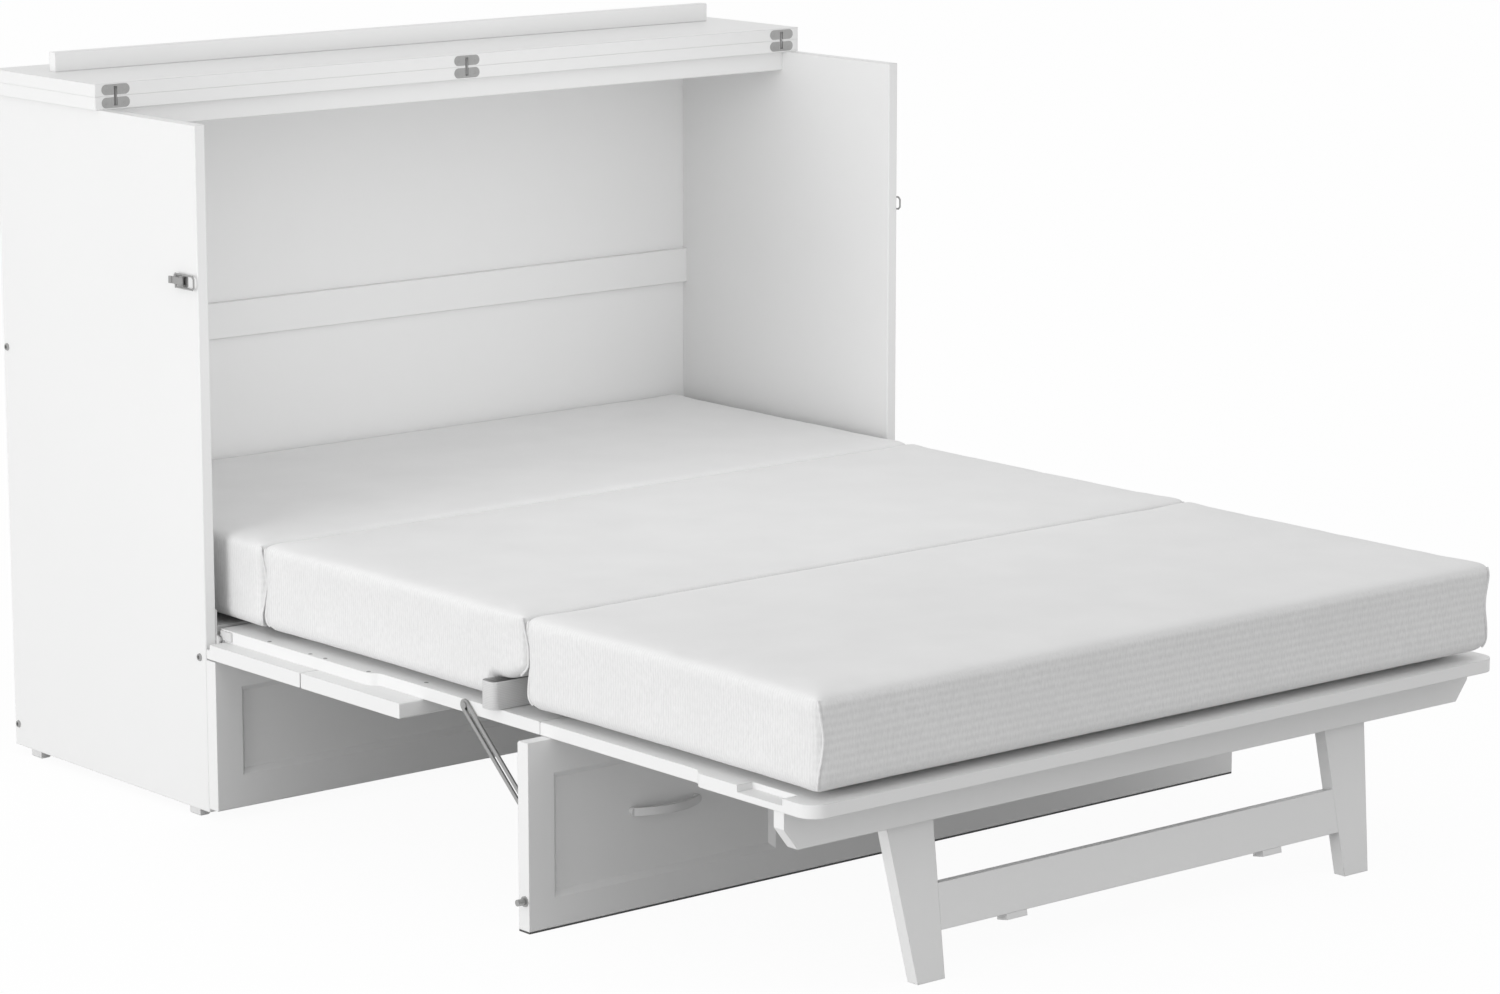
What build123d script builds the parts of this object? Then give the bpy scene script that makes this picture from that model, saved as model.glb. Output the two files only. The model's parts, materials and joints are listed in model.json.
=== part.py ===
from build123d import *
import math
import os

# Cabinet bed that folds out of a chest: millimetres, +Z up, +X to the right seen from the foot.
# The origin is on the floor under the middle of the open bed. The cabinet stands at +Y and the foot
# of the bed at -Y. Most places are written as a distance from the wall, which y_at turns into Y.

# Cabinet
BED_LENGTH = 2024.0        # wall side of the cabinet to the foot edge of the platform
CABINET_DEPTH = 588.0
CABINET_HALF = 731.0       # half the width over the side panels
SIDE_THICK = 20.0
SIDE_FOOT = 12.0           # height of the glides under the side panels
GLIDE_WIDE = 18.0
GLIDE_LONG = 30.0
GLIDE_EASE = 2.0
GLIDE_STARTS = (49.0, 530.0)
BACK_FRONT = 18.0          # distance from the wall of the back panel's front face
BACK_THICK = 14.0
BACK_LOW = 24.0
BATTEN_LOW = 664.0
BATTEN_HIGH = 727.0
BATTEN_THICK = 10.0
WALL_SCREW_SPACING = 812.8
WALL_SCREW_R = 3.0
WALL_SCREW_Z = 1060.0
TOP_RAIL_BACK = 280.0
TOP_RAIL_THICK = 20.0
TOP_RAIL_HIGH = 34.0
DECK_FRONT = 566.0
DECK_RAIL_LOW = 226.0
DECK_RAIL_FRONT = 580.0
DECK_RAIL_BACK = 556.0
DECK_RAIL_DROP = 4.0       # its front step below the deck
CLEAT_SIZE = 20.0
CLEAT_HIGH = 30.0
REAR_RAIL_HIGH = 60.0
FRONT_FACE = 614.0         # lower front panel
FRONT_LOW = 18.0
FRONT_TOP = 262.0
FRONT_FIELD_HALF = 682.0
FRONT_FIELD_LOW = 71.0
FRONT_FIELD_HIGH = 216.0
FRONT_FIELD_DEEP = 9.0
FIELD_BEVEL = 9.0          # width of the sloping border of every sunk field
EASE = 1.5                 # broken edges of the boards

# Lid, folded open on itself
LID_UNDER = 1112.0         # height of the lid's underside
LEAF_THICK = 21.0
LEAF_DEPTH = 313.0
LEAF_HALF = 738.0
LEAF_EASE = 2.0
LID_BATTEN_HALF = 687.0
LID_BATTEN_BACK = 98.0
LID_BATTEN_THICK = 18.0
LID_BATTEN_RISE = 32.0
LID_BATTEN_EASE = 1.0
LID_HINGE_PLACES = (-698.0, 0.0, 698.0)
PLATE_LONG = 53.0          # oval plates of the flap hinges
PLATE_HIGH = 17.0
PLATE_THICK = 2.0
LINK_BACK = 10.5           # the links' pivots behind the leaves' front edge
LINK_WIDE = 9.0
LINK_THICK = 4.0
LINK_PIN_R = 1.55
LINK_ROOM = 5.0            # slot past a link's pivot
LINK_SLOT = 6.0

# Platform
PLATFORM_TOP = 308.0
SLAB_THICK = 20.0
SLAB_HALF = 700.0
SLAB_WAIST_HALF = 687.0    # half width where the edges step in for the stays
STEP_LENGTH = 30.0         # length of the double curve between the two widths
HEAD_STEP = 979.0
FOOT_STEP = 1758.0
SLAB_START = 585.0
SLAB_JOINT = 1400.5        # joint between the middle slab and the foot slab
JOINT_GAP = 1.0
FOOT_CORNER_R = 30.0
POCKET_START = 1866.0      # pockets let into the foot slab's edges
POCKET_END = 1962.0
POCKET_DEEP = 28.0
POCKET_SUNK = 10.0
POCKET_EASE = 0.9
BOARD_THICK = 24.0         # the two plain boards of the chest's front
BOARD_START = 590.0
BOARD_SPLIT = 850.0
BOARD_GAP = 3.0
BOARD_END = 1111.0
BOARD_NOTCH = 9.0          # corner cut clear of the pivot
PIVOT_D = 588.0            # axis on which the platform swings up into the cabinet
PIVOT_Z = 291.0
PIVOT_EYE_R = 8.0
PIVOT_PIN_R = 4.0
PIVOT_PLATE = 3.0
PIVOT_PLATE_LONG = 30.0
PIVOT_PLATE_HIGH = 15.0
PIVOT_PLATE_DROP = 2.0     # below the slab's top
PIVOT_PIN_GAP = 0.5
PIVOT_BRACKET_FRONT = 587.0
PIVOT_BRACKET_WIDE = 19.0
PIVOT_BRACKET_HIGH = 52.0

# Foot: apron and folding leg frame
APRON_BACK = 1942.0
APRON_FRONT = 1964.0
APRON_HALF = 698.0
APRON_LOW = 231.0
APRON_CHAMFER = 25.0       # ends cut back this much
APRON_CHAMFER_HIGH = 32.0
LEG_LEAN = 9.9             # degrees from upright
LEG_THICK = 21.0
LEG_AXIS_D = 1921.8
LEG_AXIS_Z = 275.0
LEG_PIN_R = 4.0
LEG_INNER = 401.0          # leg's width at its head, and the sides' taper below the shoulder
LEG_OUTER = 491.0
LEG_SHOULDER = 235.0
LEG_TAPER_LOW = -20.0
LEG_INNER_LOW = 413.0
LEG_OUTER_LOW = 462.0
EAR_THICK = 3.0            # bracket ears beside the leg's head
EAR_R = 10.0
EAR_OUT = 47.5
BRACKET_HALF = 12.0
BRACKET_BASE = 2.0
STRETCHER_LOW = 66.0
STRETCHER_HIGH = 132.0
BLOCK_INNER = 243.0        # blocks under the stretcher
BLOCK_WIDE = 40.0
BLOCK_HIGH = 9.0

# Mid panel that stands on the floor, and the slotted stays behind it
PANEL_AXIS_D = 1404.0
PANEL_AXIS_Z = 288.0
PANEL_THICK = 25.0
PANEL_TOP_GAP = 0.6
STRIP_HIGH = 3.0
FIELD_EDGES = ((-684.0, -259.0), (-212.5, 212.5), (259.0, 684.0))
FIELD_LOW = 47.0
FIELD_HIGH = 236.0
FIELD_DEEP = 8.0
PULL_SPAN = 128.0
PULL_REACH = 27.0
PULL_Z = 151.0
PULL_FOOT = 7.0            # height of a pull's feet
PULL_BAR = 7.0             # thickness of its bowed bar
PULL_HIGH = 13.0
STUD_D = 1419.0
STUD_Z = 48.0
STUD_R = 5.0
STUD_REACH = 15.0
STUD_FLANGE_R = 8.0
STUD_FLANGE = 2.5
STAY_PIN_D = 1221.0
STAY_PIN_Z = 300.0
STAY_FOOT_D = 1392.0
STAY_FOOT_Z = 150.0
STAY_INNER = 688.6
STAY_THICK = 3.0
STAY_HALF_WIDE = 9.5
STAY_SLOT_WIDE = 6.0
STAY_SLOT_FROM = 26.0      # the slot starts this far from the foot rivet
STAY_RIVET_R = 3.0
STAY_HEAD_R = 5.5
STAY_HEAD = 2.0
STAY_BOSS_R = 6.0
STAY_SIDE_GAP = 0.4
LUG_R = 9.0
LUG_HIGH = 30.0
LUG_PLATE = 2.4
LUG_WIDE = 20.0

# Draw latches on the side panels
LATCH_AXIS_D = 552.0
LATCH_AXIS_X = 737.0
LATCH_Z = 865.0
LATCH_PIN_R = 1.8
LATCH_BASE_START = 523.0
LATCH_BASE_END = 562.0
LATCH_BASE_HIGH = 20.0
LATCH_BASE_PLATE = 1.5
LATCH_BASE_EASE = 3.0
LATCH_EAR_IN = 6.0         # the ears' inner and outer faces above and below the latch's middle
LATCH_EAR_OUT = 8.5
LATCH_EAR_R = 4.0
LEVER_END = 521.0
LEVER_THICK = 3.6
THUMB_LONG = 8.0
THUMB_RISE = 5.5
LOOP_PIN_BACK = 15.0       # loop pin behind the lever's axis
LOOP_RISE = 1.3
LOOP_FRONT = 588.0
LOOP_HALF_HIGH = 10.5
LOOP_CORNER = 4.0
LOOP_WIRE_R = 1.5

# Hinges and screws
HINGE_PLACES = (-500.0, 0.0, 500.0)
LEAF_WIDE = 28.0
LEAF_LONG = 64.0
LEAF_PLATE = 1.8
LEAF_SETBACK = 0.6
KNUCKLE_R = 2.5
KNUCKLE_RISE = 0.5         # the slab hinges' axis above the slabs' top faces
KNUCKLE_GAP = 0.4
KNUCKLE_ROOM = 34.0
KNUCKLE_REACH = 4.0
RELIEF_R = 3.0
HINGE_PIN_R = 1.3
RUNNING_CLEARANCE = 0.05
SIDE_SCREWS = ((11.0, 48.0), (11.0, 692.0), (570.0, 263.0))
SCREW_SHANK_R = 3.0
SCREW_HEAD_R = 7.0
SCREW_HEAD = 3.0
SCREW_HEAD_EASE = 1.2
SCREW_DEPTH = 45.0
SIDES = 12                 # small hardware is many-sided, the smallest with fewer sides
SMALL_SIDES = 8
SMALL_R = 3.0
OVER = 1.0                 # a cut runs this far past the piece

# Mattress and strap
MATTRESS_HALF = 686.0
MATTRESS_GAP = 0.3
MATTRESS_SPANS = {"head": (23.0, 680.0), "middle": (682.0, 1359.0), "foot": (1361.5, 2019.0)}
SECTION_DRAW_IN = 7.0      # how far a section's sides pull in between its corners
SECTION_END_DRAW = 2.0
SECTION_CORNER_R = 26.0
SECTION_LEVELS = (         # height above the slab and how far the cover lies inside its full size
    (0.0, 24.0), (8.0, 9.0), (26.0, 0.0), (77.0, 5.0), (137.0, 0.0), (149.0, 5.0), (154.0, 18.0),
)
DENT_HALF = 36.0           # dents in the foot section over the slab hinges
DENT_REACH = 5.0
DENT_HIGH = 3.5
STRAP_HALF = 702.0
STRAP_THICK = 1.4
STRAP_START = 1274.0
STRAP_END = 1308.0
STRAP_LOW = 308.6
STRAP_HIGH = 351.0
STRAP_TURN_R = 10.0
STRAP_ROOM = 1.0
UNDERCUT_START = 1266.0
UNDERCUT_HIGH = 371.0      # height of the middle section's underside at its foot end

SIDE_INNER = CABINET_HALF - SIDE_THICK
SLAB_UNDER = PLATFORM_TOP - SLAB_THICK
MATTRESS_REST = PLATFORM_TOP + MATTRESS_GAP
LID_AXIS_Z = LID_UNDER + LEAF_THICK
LID_TOP = LID_UNDER + 2 * LEAF_THICK
LINK_PIN_Z = LID_UNDER + LEAF_THICK / 2
JOINT_AXIS_Z = PLATFORM_TOP + KNUCKLE_RISE
PANEL_FACE = PANEL_AXIS_D + PANEL_THICK
PANEL_TOP = PANEL_AXIS_Z - PANEL_TOP_GAP
LEG_CENTRE_X = (LEG_INNER + LEG_OUTER) / 2
STAY_OUTER = STAY_INNER + STAY_THICK
LOOP_X = LATCH_AXIS_X + LOOP_RISE
LOOP_PIN_D = LATCH_AXIS_D - LOOP_PIN_BACK


def y_at(distance):
    """Y of a point at this distance from the wall."""
    return BED_LENGTH / 2 - distance


def block(x0, x1, d0, d1, z0, z1):
    """Box between two values of X, of distance from the wall and of height."""
    middle = Pos((x0 + x1) / 2, y_at((d0 + d1) / 2), (z0 + z1) / 2)
    return middle * Box(x1 - x0, d1 - d0, z1 - z0)


def side_profile(sketch, x0, x1):
    """Solid with an outline drawn in (distance from the wall, height), between two values of X."""
    plane = Plane(origin=(x1, y_at(0), 0), x_dir=(0, -1, 0), z_dir=(-1, 0, 0))
    return extrude(plane * sketch, amount=x1 - x0)


def front_profile(sketch, d0, d1):
    """Solid with an outline drawn in (X, height), between two distances from the wall."""
    plane = Plane(origin=(0, y_at(d0), 0), x_dir=(1, 0, 0), z_dir=(0, -1, 0))
    return extrude(plane * sketch, amount=d1 - d0)


def disc(radius, bore=False):
    """Many-sided section: a pin has its corners on the radius, and a bore has its flats there."""
    sides = SMALL_SIDES if radius < SMALL_R else SIDES
    return RegularPolygon(radius, sides, major_radius=not bore)


def rod(d, z, radius, x0, x1, bore=False):
    """Bar along X."""
    return side_profile(Pos(d, z) * disc(radius, bore), x0, x1)


def post(x, d, radius, z0, z1, bore=False):
    """Bar along Z."""
    return extrude(Pos(x, y_at(d), z0) * disc(radius, bore), amount=z1 - z0)


def outline(*points):
    """Flat face with straight sides."""
    return make_face(Polyline(*points, close=True))


def both_sides(piece):
    """A piece on the right and its mirror image on the left."""
    return [piece, mirror(piece, about=Plane.YZ)]


def save(name, *solids):
    """Writes a node made of one or more separate solids."""
    flat = [s for piece in solids for s in piece.solids()]
    shape = flat[0] if len(flat) == 1 else Compound(children=flat)
    export_step(shape, os.path.join("parts", name + ".step"))


def eased_edges(piece, axis, width):
    """Breaks the sharp edges of a board, those that run along the given axis."""
    return chamfer(piece.edges().filter_by(axis), width)


def recess(x0, x1, z0, z1, face_d, depth):
    """Sunk field with sloping sides, cut back from a panel's front face."""
    centre = ((x0 + x1) / 2, y_at(face_d), (z0 + z1) / 2)
    plane = Plane(origin=centre, x_dir=(1, 0, 0), z_dir=(0, 1, 0))
    slope = math.degrees(math.atan2(FIELD_BEVEL, depth))
    return extrude(plane * Rectangle(x1 - x0, z1 - z0), amount=depth, taper=slope)


# Cabinet: sides, back, deck and lower front

def side_panel():
    panel = block(SIDE_INNER, CABINET_HALF, 0, CABINET_DEPTH, SIDE_FOOT, LID_UNDER)
    panel = eased_edges(panel, Axis.Z, EASE)
    for d, z in SIDE_SCREWS:
        panel -= rod(d, z, SCREW_SHANK_R, SIDE_INNER - OVER, CABINET_HALF + OVER)
    return panel


def side_screw(d, z):
    head = rod(d, z, SCREW_HEAD_R, CABINET_HALF, CABINET_HALF + SCREW_HEAD)
    head = chamfer(head.edges().group_by(Axis.X)[-1], SCREW_HEAD_EASE)
    return head + rod(d, z, SCREW_SHANK_R, CABINET_HALF - SCREW_DEPTH, CABINET_HALF + OVER)


def drill_side_screws(piece):
    """Cuts the screws' pilot holes where they enter a piece, on both sides."""
    for d, z in SIDE_SCREWS:
        for hole in both_sides(rod(d, z, SCREW_SHANK_R, CABINET_HALF - SCREW_DEPTH, CABINET_HALF)):
            piece -= hole
    return piece


def floor_glide(start):
    inner = (SIDE_INNER + CABINET_HALF - GLIDE_WIDE) / 2
    glide = block(inner, inner + GLIDE_WIDE, start, start + GLIDE_LONG, 0, SIDE_FOOT)
    return chamfer(glide.edges().group_by(Axis.Z)[0], GLIDE_EASE)


def back_panel():
    """Back panel with two round holes for the screws that hold the cabinet to the wall."""
    back = block(-SIDE_INNER, SIDE_INNER, BACK_FRONT - BACK_THICK, BACK_FRONT, BACK_LOW, LID_UNDER)
    for x in (-WALL_SCREW_SPACING / 2, WALL_SCREW_SPACING / 2):
        back -= front_profile(Pos(x, WALL_SCREW_Z) * Circle(WALL_SCREW_R), 0, BACK_FRONT + OVER)
    return drill_side_screws(back)


def across(d0, d1, z0, z1):
    """Board between the two side panels."""
    return block(-SIDE_INNER, SIDE_INNER, d0, d1, z0, z1)


def deck_front_rail():
    """Rail under the deck's front edge, lower where the platform's pivot swings past."""
    step = SLAB_UNDER - DECK_RAIL_DROP
    rail = across(DECK_RAIL_BACK, DECK_RAIL_FRONT, DECK_RAIL_LOW, step)
    rail += across(DECK_RAIL_BACK, DECK_FRONT, step - OVER, SLAB_UNDER)
    return drill_side_screws(rail)


def lower_front_panel():
    front = block(-CABINET_HALF, CABINET_HALF, CABINET_DEPTH, FRONT_FACE, FRONT_LOW, FRONT_TOP)
    front = eased_edges(front, Axis.X, EASE)
    half = FRONT_FIELD_HALF
    return front - recess(-half, half, FRONT_FIELD_LOW, FRONT_FIELD_HIGH, FRONT_FACE, FRONT_FIELD_DEEP)


def build_cabinet():
    right = side_panel()
    save("right_side_panel", right)
    save("left_side_panel", mirror(right, about=Plane.YZ))
    save("side_screws", *[s for place in SIDE_SCREWS for s in both_sides(side_screw(*place))])
    save("floor_glides", *[s for start in GLIDE_STARTS for s in both_sides(floor_glide(start))])

    save("back_panel", back_panel())
    batten = across(BACK_FRONT, BACK_FRONT + BATTEN_THICK, BATTEN_LOW, BATTEN_HIGH)
    save("back_batten", eased_edges(batten, Axis.X, EASE))
    rail = across(TOP_RAIL_BACK, TOP_RAIL_BACK + TOP_RAIL_THICK, LID_UNDER - TOP_RAIL_HIGH, LID_UNDER)
    save("top_rail", eased_edges(rail, Axis.X, EASE))

    deck = across(BACK_FRONT, DECK_FRONT, SLAB_UNDER, PLATFORM_TOP)
    save("head_deck", eased_edges(deck, Axis.X, EASE))
    start = BACK_FRONT + CLEAT_SIZE
    inner, low = SIDE_INNER - CLEAT_SIZE, SLAB_UNDER - CLEAT_HIGH
    cleat = block(inner, SIDE_INNER, start, DECK_RAIL_BACK, low, SLAB_UNDER)
    save("deck_cleats", *both_sides(cleat))
    save("deck_rear_rail", across(BACK_FRONT, start, SLAB_UNDER - REAR_RAIL_HIGH, SLAB_UNDER))
    save("deck_front_rail", deck_front_rail())
    save("lower_front_panel", lower_front_panel())


# Lid: rear leaf on the cabinet, front leaf folded back on it, and the flap hinges between them

def lid_plate_blank(x, z):
    seat = Pos(x, z) * SlotOverall(PLATE_LONG, PLATE_HIGH)
    return front_profile(seat, LEAF_DEPTH - PLATE_THICK, LEAF_DEPTH)


def lid_plate(x, z, toward):
    """Oval hinge plate, slotted for the link on the side of the other leaf: toward is +1 or -1."""
    low, high = sorted((z - toward * LINK_ROOM, z + toward * PLATE_HIGH))
    half, back = LINK_SLOT / 2, LEAF_DEPTH - LINK_ROOM
    return lid_plate_blank(x, z) - block(x - half, x + half, back, LEAF_DEPTH + OVER, low, high)


def lid_leaf(z0, z1, toward):
    """Leaf with mortises for the hinges: a shallow oval seat and a slot for the link."""
    middle = (z0 + z1) / 2
    leaf = eased_edges(block(-LEAF_HALF, LEAF_HALF, 0, LEAF_DEPTH, z0, z1), Axis.Z, LEAF_EASE)
    low, high = sorted((middle - toward * (LINK_ROOM + OVER), middle + toward * LEAF_THICK))
    slot_back = LEAF_DEPTH - LINK_BACK - LINK_SLOT
    for x in LID_HINGE_PLACES:
        leaf -= lid_plate_blank(x, middle)
        leaf -= block(x - LINK_SLOT / 2, x + LINK_SLOT / 2, slot_back, LEAF_DEPTH + OVER, low, high)
    return leaf


def lid_link(x):
    """Flat link with clipped ends, bored for its pin in the rear leaf."""
    bar = Pos(LEAF_DEPTH - LINK_BACK, LID_AXIS_Z) * Rectangle(LINK_WIDE, LEAF_THICK + LINK_WIDE)
    bar = chamfer(bar.vertices(), LINK_WIDE / 3)
    link = side_profile(bar, x - LINK_THICK / 2, x + LINK_THICK / 2)
    bore = LINK_PIN_R + RUNNING_CLEARANCE
    return link - rod(LEAF_DEPTH - LINK_BACK, LINK_PIN_Z, bore, x - LINK_SLOT, x + LINK_SLOT, bore=True)


def lid_link_pin(x):
    half = LINK_SLOT / 2
    return rod(LEAF_DEPTH - LINK_BACK, LINK_PIN_Z, LINK_PIN_R, x - half, x + half)


def build_lid():
    save("lid_rear_leaf", lid_leaf(LID_UNDER, LID_AXIS_Z, 1))
    save("lid_rear_plates", *[lid_plate(x, LINK_PIN_Z, 1) for x in LID_HINGE_PLACES])
    save("lid_front_leaf", lid_leaf(LID_AXIS_Z, LID_TOP, -1))
    save("lid_front_plates", *[lid_plate(x, LINK_PIN_Z + LEAF_THICK, -1) for x in LID_HINGE_PLACES])
    back, half = LID_BATTEN_BACK, LID_BATTEN_HALF
    batten = block(-half, half, back, back + LID_BATTEN_THICK, LID_TOP, LID_TOP + LID_BATTEN_RISE)
    save("lid_batten", eased_edges(batten, Axis.X, LID_BATTEN_EASE))
    save("lid_links", *[lid_link(x) for x in LID_HINGE_PLACES])
    save("lid_link_pins", *[lid_link_pin(x) for x in LID_HINGE_PLACES])


# Swing pivots of the platform, on the side panels' inner faces

def pivot_bracket():
    """Plate on a side panel with the pin that carries the platform."""
    middle_d = PIVOT_BRACKET_FRONT - PIVOT_BRACKET_WIDE / 2
    middle_z = SLAB_UNDER + PIVOT_BRACKET_HIGH / 2
    plate = Pos(middle_d, middle_z) * Rectangle(PIVOT_BRACKET_WIDE, PIVOT_BRACKET_HIGH)
    plate += Pos(PIVOT_D, PIVOT_Z) * disc(PIVOT_EYE_R)
    bracket = side_profile(plate, SIDE_INNER - PIVOT_PLATE, SIDE_INNER)
    return bracket + rod(PIVOT_D, PIVOT_Z, PIVOT_PIN_R, SLAB_HALF + PIVOT_PIN_GAP, SIDE_INNER)


def pivot_plate():
    """Plate on the slab's edge with the eye that turns on the pin."""
    middle_z = PLATFORM_TOP - PIVOT_PLATE_DROP - PIVOT_PLATE_HIGH / 2
    plate = Pos(PIVOT_D + PIVOT_PLATE_LONG / 2, middle_z) * Rectangle(PIVOT_PLATE_LONG, PIVOT_PLATE_HIGH)
    plate += Pos(PIVOT_D, PIVOT_Z) * disc(PIVOT_EYE_R)
    plate = side_profile(plate, SLAB_HALF, SLAB_HALF + PIVOT_PLATE)
    bore = PIVOT_PIN_R + RUNNING_CLEARANCE
    return plate - rod(PIVOT_D, PIVOT_Z, bore, SLAB_HALF - OVER, SIDE_INNER, bore=True)


# Platform slabs with stepped edges

def edge_step(d_from, half_from, half_to):
    """Double curve that takes the slab's edge from one half width to another."""
    run, rise = STEP_LENGTH / 2, abs(half_to - half_from) / 2
    radius = (run**2 + rise**2) / (2 * rise)
    bulge = math.copysign(radius - math.sqrt(radius**2 - (run / 2)**2), half_to - half_from)
    middle = ((half_from + half_to) / 2, y_at(d_from + run))
    start, end = (half_from, y_at(d_from)), (half_to, y_at(d_from + STEP_LENGTH))
    leave = ThreePointArc(start, (half_from + bulge, y_at(d_from + run / 2)), middle)
    arrive = ThreePointArc(middle, (half_to - bulge, y_at(d_from + run * 1.5)), end)
    return [leave, arrive]


def slab_from_half(half_outline):
    """Slab from the right half of its plan, mirrored on the centre line, with its hinge groove."""
    half = make_face(half_outline)
    plan = half + mirror(half, about=Plane.YZ)
    slab = extrude(Pos(0, 0, SLAB_UNDER) * plan, amount=SLAB_THICK)
    return slab - hinge_groove(SLAB_JOINT, JOINT_AXIS_Z)


def hinge_groove(d, z):
    """Groove along a hinge line, room for the knuckles."""
    return rod(d, z, RELIEF_R, -CABINET_HALF - OVER, CABINET_HALF + OVER, bore=True)


def middle_slab():
    end = SLAB_JOINT - JOINT_GAP / 2
    half = [
        Line((0, y_at(SLAB_START)), (SLAB_HALF, y_at(SLAB_START))),
        Line((SLAB_HALF, y_at(SLAB_START)), (SLAB_HALF, y_at(HEAD_STEP))),
        *edge_step(HEAD_STEP, SLAB_HALF, SLAB_WAIST_HALF),
        Line((SLAB_WAIST_HALF, y_at(HEAD_STEP + STEP_LENGTH)), (SLAB_WAIST_HALF, y_at(end))),
        Line((SLAB_WAIST_HALF, y_at(end)), (0, y_at(end))),
        Line((0, y_at(end)), (0, y_at(SLAB_START))),
    ]
    slab = slab_from_half(half) - hinge_groove(PANEL_AXIS_D, PANEL_AXIS_Z)
    for x in HINGE_PLACES:
        slab -= leaf_blank(x, SLAB_JOINT - LEAF_WIDE, SLAB_JOINT, PLATFORM_TOP - LEAF_PLATE, PLATFORM_TOP)
        slab -= leaf_blank(x, PANEL_AXIS_D - LEAF_WIDE, PANEL_AXIS_D, SLAB_UNDER, SLAB_UNDER + LEAF_PLATE)
    return slab


def foot_slab():
    start = SLAB_JOINT + JOINT_GAP / 2
    corner = FOOT_CORNER_R * (1 - math.sqrt(0.5))
    round_corner = ThreePointArc(
        (SLAB_HALF, y_at(BED_LENGTH - FOOT_CORNER_R)),
        (SLAB_HALF - corner, y_at(BED_LENGTH - corner)),
        (SLAB_HALF - FOOT_CORNER_R, y_at(BED_LENGTH)),
    )
    half = [
        Line((0, y_at(start)), (SLAB_WAIST_HALF, y_at(start))),
        Line((SLAB_WAIST_HALF, y_at(start)), (SLAB_WAIST_HALF, y_at(FOOT_STEP))),
        *edge_step(FOOT_STEP, SLAB_WAIST_HALF, SLAB_HALF),
        Line((SLAB_HALF, y_at(FOOT_STEP + STEP_LENGTH)), (SLAB_HALF, y_at(BED_LENGTH - FOOT_CORNER_R))),
        round_corner,
        Line((SLAB_HALF - FOOT_CORNER_R, y_at(BED_LENGTH)), (0, y_at(BED_LENGTH))),
        Line((0, y_at(BED_LENGTH)), (0, y_at(start))),
    ]
    slab = slab_from_half(half)
    inner, floor = SLAB_HALF - POCKET_DEEP, PLATFORM_TOP - POCKET_SUNK
    pocket = block(inner, SLAB_HALF + OVER, POCKET_START, POCKET_END, floor, PLATFORM_TOP + OVER)
    for cut in both_sides(eased_edges(pocket, Axis.Z, POCKET_EASE)):
        slab -= cut
    knuckle_end, knuckle_top = PANEL_AXIS_D + KNUCKLE_REACH, SLAB_UNDER + KNUCKLE_R + OVER
    for x in HINGE_PLACES:
        slab -= leaf_blank(x, SLAB_JOINT, SLAB_JOINT + LEAF_WIDE, PLATFORM_TOP - LEAF_PLATE, PLATFORM_TOP)
        # room for the knuckles of the mid panel's hinges, which hang just past the joint
        slab -= block(x - KNUCKLE_ROOM, x + KNUCKLE_ROOM, SLAB_JOINT, knuckle_end, SLAB_UNDER, knuckle_top)
    return slab


# Butt hinges: a leaf each side of the knuckles

def leaf_blank(x, d0, d1, z0, z1):
    return block(x - LEAF_LONG / 2, x + LEAF_LONG / 2, d0, d1, z0, z1)


def hinge_leaf(x, axis_d, axis_z, plate, middle_knuckle):
    """Leaf with the middle knuckle, or with the two outer ones, bored for the pin."""
    third, half = LEAF_LONG / 6, LEAF_LONG / 2
    middle, outer = [(-third, third)], [(-half, -third), (third, half)]
    own, others = (middle, outer) if middle_knuckle else (outer, middle)
    gap, room = KNUCKLE_GAP, KNUCKLE_R + KNUCKLE_GAP
    leaf = plate
    for low, high in others:
        leaf -= rod(axis_d, axis_z, room, x + low - gap, x + high + gap, bore=True)
    for low, high in own:
        leaf += rod(axis_d, axis_z, KNUCKLE_R, x + low, x + high)
    bore = HINGE_PIN_R + RUNNING_CLEARANCE
    return leaf - rod(axis_d, axis_z, bore, x - LEAF_LONG, x + LEAF_LONG, bore=True)


def hinge_pins(axis_d, axis_z):
    half = LEAF_LONG / 2
    return [rod(axis_d, axis_z, HINGE_PIN_R, x - half, x + half) for x in HINGE_PLACES]


def slab_hinge_leaf(x, side):
    """Leaf let into the slabs' top faces: side -1 is the middle slab and +1 the foot slab."""
    d0, d1 = sorted((SLAB_JOINT + side * LEAF_SETBACK, SLAB_JOINT + side * LEAF_WIDE))
    plate = leaf_blank(x, d0, d1, PLATFORM_TOP - LEAF_PLATE, PLATFORM_TOP)
    return hinge_leaf(x, SLAB_JOINT, JOINT_AXIS_Z, plate, side > 0)


def panel_hinge_leaf(x, on_panel):
    """Leaf let into the slab's underside, or into the mid panel's back."""
    d, z = PANEL_AXIS_D, PANEL_AXIS_Z
    if on_panel:
        plate = leaf_blank(x, d, d + LEAF_PLATE, z - LEAF_WIDE, z - LEAF_SETBACK)
    else:
        plate = leaf_blank(x, d - LEAF_WIDE, d - LEAF_SETBACK, z, z + LEAF_PLATE)
    return hinge_leaf(x, d, z, plate, on_panel)


def front_board(d0, d1):
    """Plain board of the chest's front, under the middle slab while the bed is open."""
    board = block(-CABINET_HALF, CABINET_HALF, d0, d1, SLAB_UNDER - BOARD_THICK, SLAB_UNDER)
    return eased_edges(board, Axis.X, EASE)


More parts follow.
